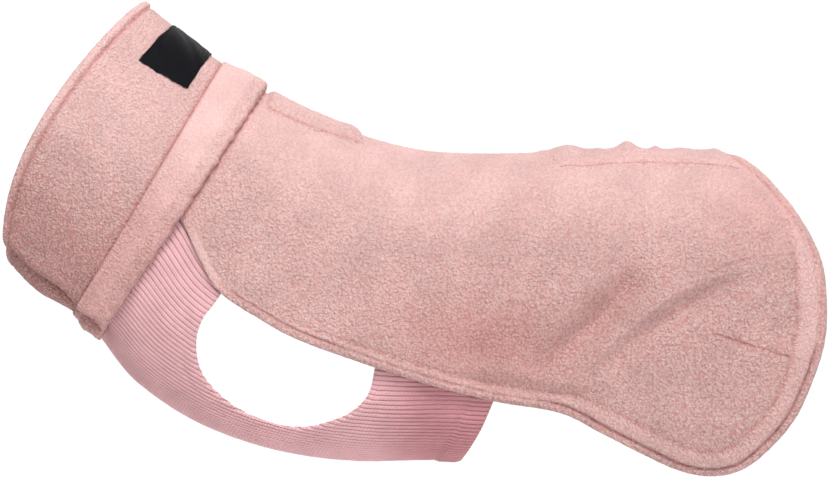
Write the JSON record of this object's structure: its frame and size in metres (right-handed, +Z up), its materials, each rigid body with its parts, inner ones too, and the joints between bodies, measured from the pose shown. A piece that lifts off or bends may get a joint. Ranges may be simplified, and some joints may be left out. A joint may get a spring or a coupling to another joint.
{
  "type": "dog sweater",
  "caption": "Filled-out fleece dog pullover with a stand-up collar, folded neck band, rib-knit chest and belly panel, two armholes and rounded rear flaps.",
  "frame": {"origin": "inside of the cloth on the spine over the withers, where the dog's back holds the garment up", "axes": "+X from head to tail, +Y to the dog's right, +Z up"},
  "size_m": [0.4892, 0.1211, 0.2836],
  "materials": {
    "fleece": "pale dusty pink microfleece, pilled nap, matt with a soft sheen",
    "rib_knit": "dusty pink rib knit, matt",
    "woven_label": "black woven ribbon, slight satin sheen"
  },
  "bodies": {
    "root": {"back_panel": "fleece", "chest_panel": "rib_knit", "collar": "fleece", "neck_band": "fleece", "leash_placket": "fleece", "spine_channel": "fleece", "neck_label": "woven_label"}
  },
  "joints": []
}
